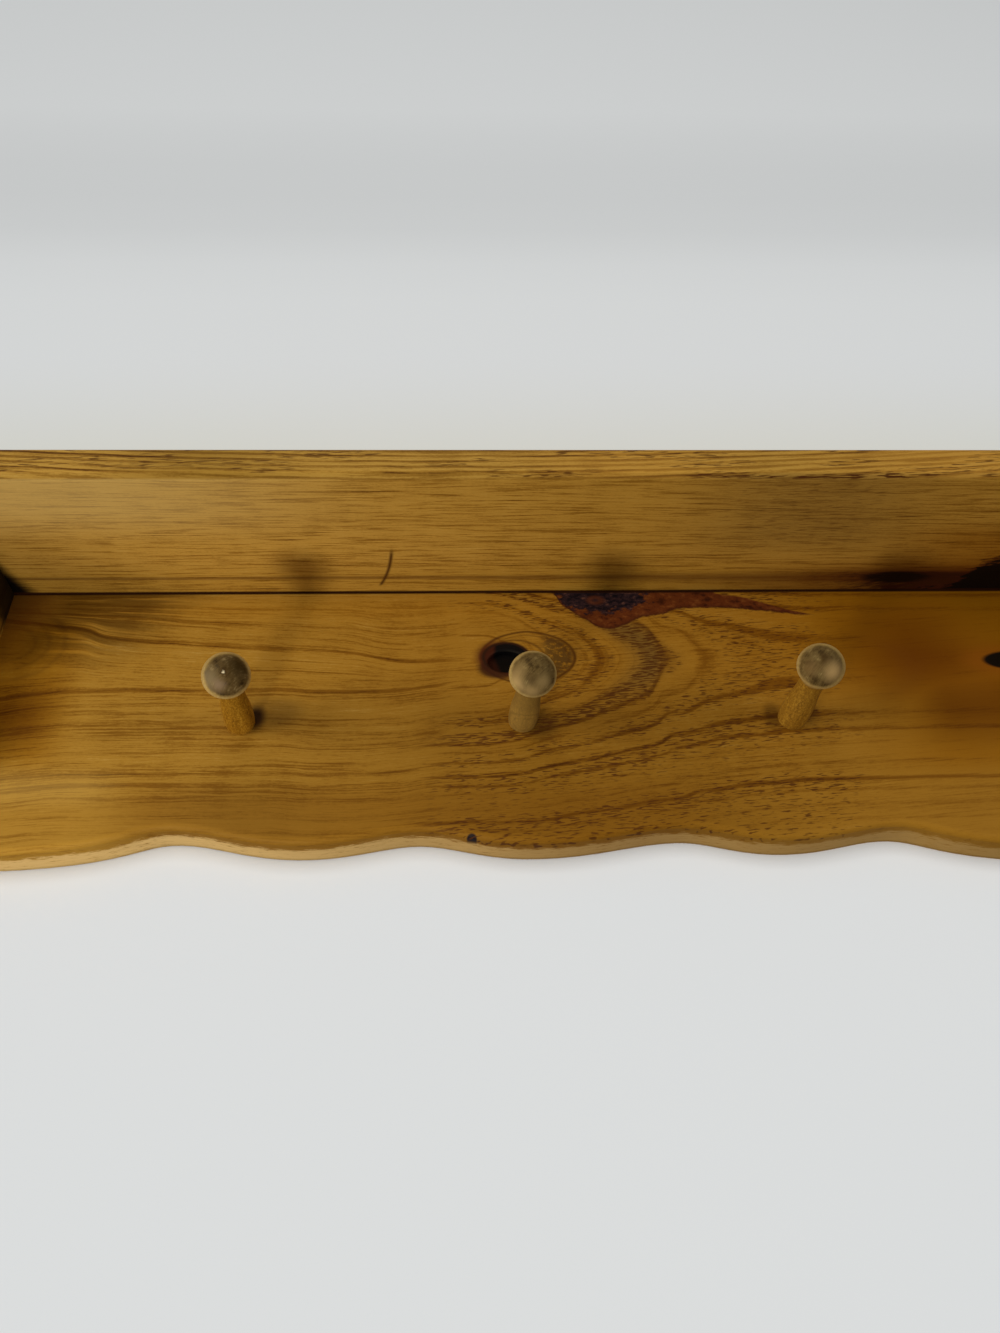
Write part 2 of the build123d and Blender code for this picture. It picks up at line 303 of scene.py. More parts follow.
# Growth rings of the rest, measured outwards from the long axis of their arches, how dark each
# one is and how flecked the wood is near it. The arches close towards the right, where the axis
# lies deeper in the board, and their lower sides lean.
ARCH_AXIS = 46.2  # below the shelf
ARCH_LEAN = (0.202, -0.0037)
ARCH_DEPTHS = (
    (-300.0, 0.0),
    (-80.0, 0.0),
    (-40.0, 0.3),
    (-15.0, 11.6),
    (5.0, 27.5),
    (25.0, 34.5),
    (43.4, 41.3),
    (62.0, 46.6),
    (70.0, 51.0),
    (80.0, 52.5),
    (93.5, 56.0),
    (110.0, 57.6),
    (130.0, 59.4),
    (300.0, 61.0),
)
ARCHED_RINGS = (
    (16.9, 0.6),
    (32.8, 0.4),
    (38.6, 0.6),
    (46.2, 0.3),
    (51.2, 0.75),
    (55.8, 0.45),
    (61.6, 0.8),
    (69.1, 1.0),
    (74.4, 0.8),
    (79.2, 0.25),
    (87.0, 0.3),
    (93.8, 1.0),
    (98.3, 0.5),
    (104.6, 0.35),
    (111.0, 0.3),
)
FLECKED_RINGS = (
    (0.0, 0.0),
    (32.0, 0.0),
    (37.0, 0.9),
    (41.0, 0.7),
    (43.0, 0.0),
    (45.5, 1.5),
    (50.5, 1.6),
    (53.0, 0.1),
    (58.0, 0.7),
    (62.0, 0.9),
    (65.5, 0.2),
    (69.0, 1.0),
    (75.0, 0.9),
    (81.0, 0.4),
    (88.0, 0.3),
    (94.0, 1.0),
    (100.0, 0.7),
    (113.0, 0.6),
    (130.0, 0.4),
)


def ring_darkness(reading, rings, end, spread=1.0):
    """How dark the late wood is at a place across the rings: it sets in slowly and ends sharply."""
    points = [(0.0, 0.0)]
    for middle, darkness in rings:
        points.append((middle - 1.3 * spread, 0.0))
        points += [(middle, darkness), (middle + 0.8 * spread, 0.0)]
    points.append((end, 0.0))
    return drawn(reading, points)


# Shades that multiply the colour, as the share of each colour that they leave: where the stain took
# differently, where the wood is darker, and painted shade of the brackets
DEEP_STAIN = (0.84, 0.66, 0.26, 1.0)
DARK_STAIN_AND_BRACKET_SHADE = (0.52, 0.41, 0.07, 1.0)
HONEY_STAIN = (0.86, 0.75, 0.32, 1.0)
YELLOW_STAIN = (1.0, 1.0, 0.55, 1.0)
LOWER_LEFT_DARKER = (0.76, 0.74, 0.72, 1.0)
LOWER_MIDDLE_DARKER = (0.76, 0.74, 0.64, 1.0)
LOWEST_WOOD = (0.86, 0.80, 0.66, 1.0)
BRACKET_SHADOW_TONE = (0.40, 0.36, 0.30, 1.0)
BACK_EDGE_DARKER = (0.50, 0.50, 0.42, 1.0)
PALE_HONEY = stain(190, 132, 32)
PALE_STRAW = stain(214, 172, 84)
NOSE_BROWN = stain(112, 62, 16)
DULL_OLIVE = stain(108, 80, 36)

# Grime round the feet of the pegs with their painted shadows on the rail, as (middle, half sizes,
# how dark)
GRIME_AND_SHADOW_BROWN = stain(48, 24, 6)
PEG_GRIME_AND_SHADOW = (
    ((-140.5, 80.5), (7.0, 10.0), 1.0),
    ((-131.0, 77.0), (20.0, 14.0), 0.40),
    ((2.0, 86.0), (12.0, 13.0), 0.45),
    ((120.5, 82.0), (7.0, 11.0), 0.5),
    ((138.0, 80.0), (9.0, 9.0), 0.45),
)

# The outermost arch's nose, then the open knot and its rings, each as (middle along the rail,
# middle below the shelf) and half sizes
ARCH_NOSE = ((140.0, 52.0), (60.0, 24.0))
OPEN_KNOT = ((-14.0, 44.0), (10.6, 8.0))
INNER_RING = ((-9.5, 45.5), (16.0, 12.5))
OUTER_RING = ((-2.6, 44.0), (24.8, 16.3))
BELOW_HOLE = ((-18.5, 51.5), (11.0, 6.5))
KNOT_OLIVE = stain(92, 62, 24)
KNOT_LINE = stain(80, 44, 12)
KNOT_RED = stain(84, 36, 18)
KNOT_BROWN = stain(58, 26, 14)
HOLE_RIM = stain(48, 24, 14)
HOLE_SHADE_BLACK = stain(8, 8, 12)
HOLE_RED = stain(66, 26, 14)
POCKET_SHADE_BLACK = stain(4, 4, 7)
POCKET_RED = stain(58, 22, 12)
KNOT_BACK = (
    (0.00, stain(74, 40, 18)),
    (0.25, stain(112, 66, 30)),
    (0.50, stain(84, 46, 20)),
    (0.70, stain(48, 26, 12)),
    (0.82, stain(16, 11, 8)),
)

# The black and red knot in the joint, with its lower and upper outlines
JOINT_KNOT_LOW = (
    (6.0, 0.0),
    (13.0, 2.0),
    (16.8, 9.0),
    (22.3, 14.0),
    (31.7, 21.0),
    (41.5, 26.0),
    (49.5, 24.0),
    (61.5, 18.0),
    (72.5, 16.0),
    (79.5, 13.0),
    (91.5, 12.0),
    (105.0, 12.0),
    (119.0, 13.5),
    (133.0, 15.0),
    (148.5, 17.0),
    (160.0, 17.6),
)
JOINT_KNOT_HIGH = (
    (6.0, -4.0),
    (98.0, -1.0),
    (105.0, 2.0),
    (115.0, 3.5),
    (128.0, 8.0),
    (143.0, 13.5),
    (160.0, 17.8),
)
JOINT_KNOT_CORE = ((39.0, 3.0), (25.0, 11.0))
JOINT_KNOT_EYE = ((36.0, 6.0), (7.0, 4.5))
JOINT_RED = (
    (0.3, stain(58, 22, 10)),
    (0.5, stain(98, 45, 17)),
    (0.7, stain(124, 68, 28)),
)
JOINT_BLACK = (
    (0.38, stain(18, 13, 20)),
    (0.56, stain(50, 32, 34)),
    (0.70, stain(100, 64, 50)),
)
JOINT_EYE_RED = stain(98, 48, 26)
JOINT_RIM = stain(54, 22, 12)

# Small knots
RIGHT_KNOT = ((252.5, 48.0), (13.0, 5.5))
LEFT_KNOT = ((-276.0, 34.0), (12.0, 9.0))
PIN_KNOT = ((-33.0, 147.5), (2.6, 2.6))
KNOT_HALO = stain(150, 84, 14)
KNOT_ARC = stain(78, 42, 12)
PIN_BLACK = stain(30, 22, 26)


def rail_grain(x, y, drop, small_sway, front):
    """Where a point lies among the plain rings of the left half and the arches of the rest, how
    pale the wood is there, and how flecked."""
    upper, middle, lower = (drawn(x, line) for line in (UPPER_LINE, MIDDLE_LINE, LOWER_LINE))
    first, second, third = LINE_STEPS
    straight = between(drop, 0.0, upper) * first + between(drop, upper, middle) * second
    straight = straight + between(drop, middle, lower) * third + ((drop - lower) | 0.0)
    straight = straight + small_sway * 0.7 + (y + RAIL_FRONT) * 0.3
    from_axis = drop - ARCH_AXIS
    under_axis = from_axis | 0.0
    leaned = x + under_axis * ARCH_LEAN[0] + under_axis * under_axis * ARCH_LEAN[1]
    depth = drawn(leaned, ARCH_DEPTHS)
    arch = (from_axis * from_axis + depth * depth).work("SQRT")
    arch = arch + small_sway * 0.35 + (y + RAIL_FRONT) * 0.25
    arched = rise(x + (drop - 46.0) * 0.12, -58.0, -26.0)

    plain_lines = ring_darkness(straight, STRAIGHT_RINGS, 170.0, 1.9)
    plain_breaks = rise(grown(x * 0.016, straight * 0.2, y, 1.0), 0.25, 0.6) * 0.8 + 0.2
    plain_tone = pine_grain(x, straight, straight, y) - plain_lines * plain_breaks * PLAIN_LINES
    rings = ring_darkness(arch, ARCHED_RINGS, 130.0, 1.25)
    ring_breaks = rise(grown(x * 0.10, arch * 0.9, y * 0.2, 1.0), 0.36, 0.62) * 0.6 + 0.4
    ring_breaks = ring_breaks | (rise(leaned, 40.0, 110.0) * 0.85)
    calm = rise(x, 205.0, 120.0) | rise(abs(from_axis), 24.0, 44.0)
    level = drop + x * 0.08
    arched_tone = pine_grain(x, arch + 90.0, level, y, lined=0.07)
    arched_tone = arched_tone - rings * ring_breaks * calm * ARCHED_LINES
    tone = plain_tone + (arched_tone - plain_tone) * arched
    quiet = (rise(x, 120.0, 200.0) * 0.5) | (rise(drop, 116.0, 132.0) * 0.4)
    tone = tone + (QUIET_TONE - tone) * quiet

    flecked = drawn(arch, FLECKED_RINGS) * rise(x, 190.0, 120.0) * front
    fleck = short_flecks(x, level, y, flecked) * arched * rise(flecked, 0.0, 0.6) * 0.85
    return straight, arch, tone, fleck


def rail_stain(tree, colour, x, drop, arch, front):
    """The stain took deepest on the right, and painted shade of the brackets darkens both ends; the
    lower middle and the lower left are darker, and the flecked rings stayed dull. Grime and the
    pegs' painted shadows lie round their feet."""
    deep = rise(x, -190.0, 40.0) * 0.5 + rise(x, 60.0, 200.0) * rise(drop, 84.0, 50.0) * 0.5
    colour = deepen(tree, deep, colour, DEEP_STAIN)
    dark = near(x, 203.0, 72.0) * rise(drop, 90.0, 40.0) * rise(drop, -22.0, 34.0)
    # Painted shade of the brackets, darkening the rail towards both ends
    bracket_shade = rise(x, 184.0, 216.0) | rise(x, -228.0, -256.0)
    dark = dark | (bracket_shade * near(drop, 78.0, 32.0) * 0.95)
    colour = deepen(tree, dark, colour, DARK_STAIN_AND_BRACKET_SHADE)
    low = rise(drop, 62.0, 90.0) * 0.3 + rise(drop, 108.0, 130.0) * 0.6
    colour = deepen(tree, near(x, -148.0, 80.0) * low, colour, LOWER_LEFT_DARKER)
    lower_middle = rise(x, -170.0, -20.0) * rise(x, 165.0, 70.0) * rise(drop, 40.0, 90.0)
    colour = deepen(tree, lower_middle, colour, LOWER_MIDDLE_DARKER)
    honey = rise(x, 150.0, 215.0) * rise(drop, 28.0, 48.0) * rise(drop, 124.0, 104.0)
    honey = honey | (rise(x, -225.0, -250.0) * rise(drop, 12.0, 26.0) * rise(drop, 112.0, 98.0))
    colour = deepen(tree, honey, colour, HONEY_STAIN)
    yellow = rise(x, 120.0, 190.0) * rise(drop, 60.0, 30.0)
    colour = deepen(tree, yellow, colour, YELLOW_STAIN)
    light_top = near(drop, 11.0, 13.0) * rise(x, 40.0, 0.0) * front
    colour = tint(tree, light_top * 0.20, colour, PALE_HONEY)
    light_low = near(drop, 119.0, 15.0) * rise(x, -190.0, -222.0)
    colour = tint(tree, light_low * 0.28, colour, PALE_STRAW)
    lowest = rise(drop, 112.0, 130.0) * rise(x, -215.0, -180.0) * rise(x, 110.0, 50.0)
    colour = deepen(tree, lowest, colour, LOWEST_WOOD)
    nose = near(oval(x, drop, *ARCH_NOSE), 1.0, 0.22) * rise(x, 165.0, 195.0)
    colour = tint(tree, nose * 0.2 * front, colour, NOSE_BROWN)
    dull = near(arch, 47.5, 6.0) * rise(drop, 78.0, 50.0) * rise(x, 20.0, 44.0) * front
    colour = tint(tree, dull * 0.7, colour, DULL_OLIVE)
    # Grime round each peg's foot, with the peg's painted shadow on the rail
    for spot, size, share in PEG_GRIME_AND_SHADOW:
        grime_and_shadow = rise(oval(x, drop, spot, size), 1.0, 0.3) * front
        colour = tint(tree, grime_and_shadow * share, colour, GRIME_AND_SHADOW_BROWN)
    return colour


def open_knot(tree, colour, x, y, drop, small_sway, knotty, front):
    """A dark ring with a red side and an olive end, a hole whose mouth and walls are painted black
    as its shade with red on one side, and the knot's back face.
    """
    outer = oval(x + small_sway, drop + small_sway, *OUTER_RING)
    inner = oval(x - small_sway, drop, *INNER_RING)
    hole = oval(x, drop + small_sway * 0.4, *OPEN_KNOT)
    right_end = rise(outer, 1.02, 0.9) * rise(inner, 0.95, 1.1) * rise(x, 2.0, 9.0) * front
    colour = tint(tree, right_end * rise(knotty, 0.36, 0.52) * 0.85, colour, KNOT_OLIVE)
    rims = (near(outer, 1.0, 0.07) * 0.85) | (near(inner, 1.0, 0.10) * 0.6)
    rims = rims | (near(outer, 0.86, 0.05) * 0.4)
    colour = tint(tree, rims * front, colour, KNOT_LINE)
    red_side = rise(hole, 1.8, 1.15) * rise(x - drop * 0.4, -26.0, -36.0) * front
    colour = tint(tree, red_side * 0.9, colour, KNOT_RED)
    below_hole = rise(oval(x, drop, *BELOW_HOLE), 1.15, 0.7) * front
    colour = tint(tree, below_hole * 0.9, colour, KNOT_BROWN)
    # Painted shade: the hole's mouth and walls painted black, red on one side
    hole_shade_and_red = tint(tree, rise(x, -18.5, -21.5), HOLE_SHADE_BLACK, HOLE_RED)
    colour = tint(tree, rise(hole, 1.32, 1.14) * front, colour, HOLE_RIM)
    colour = tint(tree, rise(hole, 1.12, 0.98) * front, colour, hole_shade_and_red)
    pocket = rise(y, -18.9, -18.2) * rise(y, -9.0, -13.0) * rise(hole, 1.4, 1.2)
    red_wall = rise(x - drop * 0.35, -33.5, -37.5)
    colour = tint(tree, pocket, colour, tint(tree, red_wall, POCKET_SHADE_BLACK, POCKET_RED))
    behind = rise(y, -4.0, -1.0) * rise(hole, 1.3, 1.2)
    return tint(tree, behind, colour, graded(hole * 0.7 + (knotty - 0.5) * 0.5, KNOT_BACK))


def joint_knot(tree, colour, x, drop, knotty, mottle, front):
    """A red knot with a black core, cut through by the joint; also where it lies."""
    low, high = drawn(x, JOINT_KNOT_LOW), drawn(x, JOINT_KNOT_HIGH)
    ragged = (knotty - 0.5) * 3.0
    inside = rise(low - drop + ragged, -0.4, 1.0) * rise(drop - high + ragged * 0.4, -0.5, 0.8)
    inside = inside * rise(x, 9.0, 14.0) * rise(x, 158.0, 150.0) * front
    core = rise(oval(x, drop, *JOINT_KNOT_CORE) + (mottle - 0.5) * 1.6, 1.12, 0.9)
    eye = near(oval(x, drop, *JOINT_KNOT_EYE), 0.45, 0.5)
    knot = tint(tree, core, graded(mottle, JOINT_RED), graded(knotty, JOINT_BLACK))
    knot = tint(tree, eye * 0.7, knot, JOINT_EYE_RED)
    knot = tint(tree, rise(low - drop + ragged, 3.4, 0.2) * 0.7, knot, JOINT_RIM)
    return tint(tree, inside, colour, knot), inside


def rail_ends(tree, colour, x, drop, straight, small_sway, knotty, front):
    """A small knot towards each end, and in the upper left corner red resin under painted shade of
    the bracket, with more painted shade beyond it.
    """
    ragged = (knotty - 0.5) * 3.0
    right_knot = oval(x, drop + small_sway, *RIGHT_KNOT)
    colour = tint(tree, rise(right_knot, 2.4, 1.0) * 0.5 * front, colour, KNOT_HALO)
    colour = tint(tree, rise(right_knot, 1.15, 0.85) * front, colour, RESIN_AND_SHADE_BLACK)
    left_knot = oval(x + ragged * 1.5, drop + small_sway * 2.0, *LEFT_KNOT)
    arcs = near(left_knot, 1.3, 0.18) | near(left_knot, 1.9, 0.2) | near(left_knot, 2.6, 0.25)
    colour = tint(tree, arcs * 0.2 * front, colour, KNOT_ARC)
    # Red resin in the upper left corner, darkened with painted shade where the bracket meets the
    # rail
    corner_shade_and_resin = rise(x + drop * 0.2 + ragged * 3.0, -238.0, -268.0) * rise(drop, 60.0, 10.0)
    colour = tint(tree, corner_shade_and_resin * 0.8 * front, colour, RESIN_RED_AND_SHADE)
    # Painted shadow of the left bracket, reaching out along the joint
    bracket_shadow = rise(x + drop * 0.7 + ragged * 5.0, -160.0, -205.0) * rise(drop, 60.0, 26.0)
    bracket_shadow = bracket_shadow * rise(grown(x * 0.02, straight * 0.3, 0.0, 2.0), 0.25, 0.55) * front
    return deepen(tree, bracket_shadow * rise(corner_shade_and_resin, 0.9, 0.0), colour, BRACKET_SHADOW_TONE)


def lower_edge(tree, colour, x, y, drop, downwards, small_sway, mottle, front):
    """The sawn and routed edge took less stain, and it is darker along its back, against the wall;
    also where the pale edge lies."""
    sawn = rise(downwards + (mottle - 0.5) * 0.8, 0.76, 0.96) * rise(drop, 110.0, 130.0)
    sawn = sawn * rise(y + small_sway * 2.0 + (mottle - 0.5) * 12.0, -12.6, -9.6)
    sawn = sawn * (rise(x, 60.0, -190.0) * 0.52 + 0.48)
    sawn_grain = grown(x * 0.03, y * 1.2, drop * 0.3, 3.0, 0.7) * 0.5 + 0.55
    colour = tint(tree, sawn * sawn_grain, colour, SAWN_EDGE)
    against_wall = rise(y, -2.6, -0.3) * rise(downwards, 0.3, 0.7)
    colour = deepen(tree, against_wall * 0.6, colour, BACK_EDGE_DARKER)
    pin_knot = oval(x, drop, *PIN_KNOT)
    return tint(tree, rise(pin_knot, 1.15, 0.8) * front, colour, PIN_BLACK), sawn


def rail_finish():
    finish, tree, surface, (x, y, z), facing = new_finish("rail_pine")
    drop = SHELF_UNDERSIDE - z
    front = rise(y, -9.0, -15.0)
    small_sway = (grown(x * 0.05, drop * 0.08, y * 0.05, 1.0) - 0.5) * 2.0
    knotty = grown(x * 0.3, drop * 0.5, y * 0.3, 3.0, 0.7)
    mottle = grown(x * 0.16, drop * 0.22, y, 3.0, 0.7)
    straight, arch, tone, fleck = rail_grain(x, y, drop, small_sway, front)
    colour = rail_stain(tree, graded(tone, RAIL_TONES), x, drop, arch, front)
    colour = open_knot(tree, colour, x, y, drop, small_sway, knotty, front)
    colour, inside = joint_knot(tree, colour, x, drop, knotty, mottle, front)
    colour = rail_ends(tree, colour, x, drop, straight, small_sway, knotty, front)
    downwards = facing[2] * -1.0
    colour, sawn = lower_edge(tree, colour, x, y, drop, downwards, small_sway, mottle, front)
    dirt = rise(drop, 1.4, 0.3) * front
    colour = tint(tree, dirt, colour, DIRT_BROWN)
    pine_surface(tree, surface, tone, fleck * rise(inside | sawn * 2.0, 1.0, 0.0), colour)
    return finish


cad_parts["back_rail"].material_slots[0].material = rail_finish()


# ---- Shelf ----
# One pine board on top of the rail and the brackets, with its front and end edges routed round.
# It is paler than the rail, has a scratch below and a flame-shaped knot at its right end.
SHELF_TONES = (
    (0.00, stain(96, 56, 14)),
    (0.30, stain(158, 112, 37)),
    (0.55, stain(196, 148, 61)),
    (1.00, stain(228, 188, 101)),
)
# Shades that multiply its colour, as for the rail; ROUNDING_SHADE is painted shade on the rounded
# front edge, and JOINT_SHADE and JOINT_SHADE_RIGHT are painted shade along the joint
SHELF_DEEP_STAIN = (0.86, 0.80, 0.62, 1.0)
FRONT_SHADE = (0.74, 0.72, 0.58, 1.0)
ROUNDING_SHADE = (0.70, 0.70, 0.66, 1.0)
JOINT_SHADE = (0.86, 0.84, 0.70, 1.0)
JOINT_SHADE_RIGHT = (0.62, 0.50, 0.42, 1.0)
FLAME_SHADE = (0.74, 0.62, 0.40, 1.0)
WORN_STRAW = stain(214, 180, 108)
FRONT_ORANGE = stain(222, 156, 58)
FLECKED_OLIVE = stain(116, 86, 40)

# The rings as the front edge cuts them: their crown as (along the shelf, out from the rail), how
# they bend along it and cup out from it, and the late wood's darkness across one ring
SHELF_FRONT = 88.0  # out from the rail
RING_SPACING = 3.6
RING_CROWN = (-40.0, 45.0)
RING_BEND, RING_CUP = 0.00017, 0.0039
LATE_WOOD = ((0.0, 0.0), (0.35, 0.1), (0.75, 1.0), (0.9, 0.5), (1.0, 0.0))

# Marks below, measured along the shelf and out from the rail: half the width of the red band,
# the flame knot's outline and its eye, and the line of the scratch as (out, along)
RED_BAND_MIDDLE = 12.6
RED_BAND = (
    (-310.0, 0.5),
    (-140.0, 0.7),
    (-20.0, 1.2),
    (60.0, 2.8),
    (130.0, 4.0),
    (190.0, 6.0),
    (300.0, 8.0),
)
BAND_BROWN = stain(92, 50, 14)
BAND_RED = stain(74, 28, 8)
FLAME_TOP = (
    (150.0, -6.0),
    (196.0, 0.0),
    (214.0, 1.0),
    (230.0, 3.0),
    (238.0, 12.0),
    (246.0, 22.0),
    (262.0, 29.0),
    (310.0, 33.0),
)
FLAME_EYE = ((201.0, 11.5), (19.0, 4.6))
TONGUE_BROWN = stain(50, 20, 9)
FRINGE_BROWN = stain(62, 24, 12)
SCRATCH = (
    (0.0, -84.0),
    (6.5, -81.0),
    (15.0, -77.5),
    (25.0, -74.8),
    (36.4, -73.1),
    (40.0, -73.0),
)
SCRATCH_WIDTH = 1.7  # to either side
SCRATCH_BROWN = stain(76, 42, 12)


def shelf_grain(x, out, height, edge, sway, small_sway):
    """Where a point lies among the rings that the front edge cuts across, and how pale the wood
    is there; the two faces run along the rings."""
    along_faces = (SHELF_FRONT - out) + height * 0.2 - x * 0.02 + sway
    face_tone = pine_grain(x, along_faces, along_faces - sway * 0.6, height)
    short = grown(x * 0.03, out * 0.7 - x * 0.006, height * 0.3, 3.0, 0.65)
    face_tone = face_tone - rise(short, 0.50, 0.68) * 0.26
    along_crown, across_crown = x - RING_CROWN[0], out - RING_CROWN[1]
    bend = along_crown * along_crown * RING_BEND
    cupped = across_crown * across_crown * RING_CUP - 7.2
    ring = (height - bend + cupped + small_sway + 40.0) / RING_SPACING
    late = drawn(ring.work("FRACT"), LATE_WOOD)
    edge_breaks = grown(x * 0.02, ring * 0.9, out * 0.1, 2.0, 0.6)
    edge_tone = pine_grain(x, ring, ring * RING_SPACING, out)
    edge_tone = edge_tone - late * (rise(edge_breaks, 0.3, 0.6) * 0.26 + 0.12)
    return ring, face_tone + (edge_tone - face_tone) * edge


def shelf_stain(tree, colour, x, out, edge, below, upright):
    """Paler and worn on the left and deeper on the right, with painted shade on the rounded front
    edge and along the joint, darker still on the right, and darker by the flame knot.
    """
    faces = edge * -1.0 + 1.0
    worn_pale = rise(x, -60.0, -220.0) * rise(out, 35.0, 70.0) * faces
    colour = tint(tree, worn_pale * 0.45, colour, WORN_STRAW)
    deep = rise(x, -150.0, 60.0) * 0.8 * faces
    colour = deepen(tree, deep, colour, SHELF_DEEP_STAIN)
    colour = deepen(tree, near(x, -160.0, 66.0) * edge, colour, FRONT_SHADE)
    light_front = near(x, 48.0, 80.0) * 0.25 | rise(x, 90.0, 220.0) * 0.35
    colour = tint(tree, light_front * edge, colour, FRONT_ORANGE)
    # Painted shade on the rounded front edge
    rounded = rise(upright, 0.3, 0.6) * rise(upright, 0.995, 0.95)
    colour = deepen(tree, rounded * 0.5, colour, ROUNDING_SHADE)
    # Painted shade in the corner along the joint, deeper on the right
    colour = deepen(tree, rise(out, 28.0, 12.0) * below, colour, JOINT_SHADE)
    right_joint = rise(x, 90.0, 200.0) * rise(out, 32.0, 16.0) * below
    colour = deepen(tree, right_joint, colour, JOINT_SHADE_RIGHT)
    by_flame = rise(x, 165.0, 240.0) * rise(out, 60.0, 42.0) * below
    return deepen(tree, by_flame, colour, FLAME_SHADE)


def red_band_and_flame(tree, colour, x, out, below, sway):
    """A red line along the joint that widens to a band, and the knot that it runs into; also how
    ragged their outlines are."""
    band = near(out, RED_BAND_MIDDLE + sway * 0.25, drawn(x, RED_BAND) * 1.4 + 1.3) * below
    under_band = rise(x, 20.0, 150.0) * rise(out, 14.0, 11.0) * below
    colour = tint(tree, under_band * 0.4, colour, BAND_BROWN)
    colour = tint(tree, band * (rise(x, 120.0, 230.0) * 0.4 + 0.55), colour, BAND_RED)
    ragged = (grown(x * 0.06, out * 0.35, 2.0, 3.0, 0.7) - 0.5) * 9.0
    torn = grown((x + out * 1.5) * 0.06, (out - x * 0.3) * 0.5, 4.0, 3.0, 0.75) - 0.5
    frayed = torn * 34.0
    tongue = rise(x + torn * 130.0, 158.0, 205.0) * rise(out + ragged * 0.3, 17.5, 14.0)
    colour = tint(tree, tongue * below * 0.9, colour, TONGUE_BROWN)
    from_top = drawn(x, FLAME_TOP) - out
    fringe = rise(from_top + 5.0 + frayed, 0.0, 4.0) * rise(x, 160.0, 205.0)
    colour = tint(tree, fringe * below * 0.85, colour, FRINGE_BROWN)
    flame = rise(from_top + frayed * 0.8 + ragged * 3.0, 0.0, 2.5)
    flame = flame * rise(x + frayed + ragged * 2.0, 216.0, 222.0)
    colour = tint(tree, flame * below, colour, RESIN_AND_SHADE_BLACK)
    eye = rise(oval(x, out, *FLAME_EYE) + ragged * 0.07, 1.2, 0.7)
    return tint(tree, eye * below * 0.85, colour, RESIN_AND_SHADE_BLACK), ragged


def shelf_finish():
    finish, tree, surface, (x, y, z), facing = new_finish("shelf_pine")
    height = z - SHELF_UNDERSIDE
    out = y * -1.0 - RAIL_FRONT
    upright = abs(facing[2])
    edge = rise(upright, 0.99, 0.86)
    below = rise(facing[2], -0.3, -0.8)
    sway = (grown(x * 0.008, out * 0.02, height * 0.03, 1.0) - 0.5) * 5.0
    small_sway = (grown(x * 0.03, out * 0.05, height * 0.1, 1.0) - 0.5) * 1.6
    ring, tone = shelf_grain(x, out, height, edge, sway, small_sway)
    colour = shelf_stain(tree, graded(tone, SHELF_TONES), x, out, edge, below, upright)

    # Flecks: dull and close together below on the right, and few and dark on the front edge
    olive = rise(x, 50.0, 130.0) * rise(x, 225.0, 150.0) * rise(out, 18.0, 50.0) * below
    colour = tint(tree, olive * 0.4, colour, FLECKED_OLIVE)
    few = edge * rise(grown(x * 0.02, ring * 0.5, out * 0.1, 1.0), 0.46, 0.58)
    few = few * rise(abs(facing[0]), 0.8, 0.4)
    fleck = short_flecks(x * 0.6, out * 0.9 + height - x * 0.04, height, olive * 0.7 + few)
    fleck = fleck * (olive * 0.5 + few * 0.8)

    colour, ragged = red_band_and_flame(tree, colour, x, out, below, sway)
    scratch = near(x + small_sway * 0.5, drawn(out, SCRATCH), SCRATCH_WIDTH)
    scratch = scratch * rise(out, 5.0, 8.0) * rise(out, 38.0, 30.0) * below
    colour = tint(tree, scratch * 0.95, colour, SCRATCH_BROWN)
    # Painted shade: the corner by the left bracket is painted black, and the bracket's painted
    # shadow reaches out beyond it
    corner_shade_and_resin = rise(x + out * 0.5 + ragged * 0.5, -262.0, -273.0)
    colour = tint(tree, corner_shade_and_resin * below, colour, RESIN_AND_SHADE_BLACK)
    bracket_shadow = rise(x + out * 0.8 + ragged, -150.0, -235.0) * rise(out, 70.0, 18.0) * below
    colour = deepen(tree, bracket_shadow * 0.36, colour, BRACKET_SHADOW_TONE)
    dirt = rise(out, 2.2, 0.8) * below
    colour = tint(tree, dirt, colour, DIRT_BROWN)
    pine_surface(tree, surface, tone, fleck, colour)
    return finish


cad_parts["shelf_board"].material_slots[0].material = shelf_finish()


# ---- Brackets ----
# One at each end, sawn from pine with the grain upright, and rounded along its front. The left one
# has a black patch of painted shade at the top of its inner face.
BRACKET_RINGS = 5.0  # millimetres apart
SHADED_PATCH = ((-19.0, 38.0), (38.0, 20.0))
INNER_FACE = (-282.0, -279.0)  # the painted shade starts at the first and is whole at the second


def bracket_finish(name, patch):
    finish, tree, surface, (x, y, z), _ = new_finish(name)
    sway = (grown(z * 0.012, y * 0.03, x * 0.03, 1.0) - 0.5) * 5.0
    ring = y + x * 0.4 + sway
    tone = pine_grain(z, ring, ring, x)
    uneven = grown(0.0, ring * 0.05, x * 0.02, 1.0) * 6.0
    late = drawn((ring / BRACKET_RINGS + uneven + 40.0).work("FRACT"), LATE_WOOD)
    tone = tone - late * rise(grown(z * 0.01, ring * 0.3, x, 1.0), 0.35, 0.65) * 0.17
    colour = graded(tone, RAIL_TONES)
    if patch:
        ragged = (grown(y * 0.2, z * 0.2, x * 0.2, 3.0, 0.7) - 0.5) * 0.5
        # Painted shade: a black patch at the top of the left bracket's inner face
        painted_shade = rise(oval(y, z, *SHADED_PATCH) + ragged, 1.6, 0.8) * rise(x, *INNER_FACE)
        colour = tint(tree, painted_shade, colour, RESIN_AND_SHADE_BLACK)
    pine_surface(tree, surface, tone, 0.0, colour)
    return finish


for name, patch in (("left_bracket", True), ("right_bracket", False)):
    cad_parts[name].material_slots[0].material = bracket_finish(f"{name}_pine", patch)


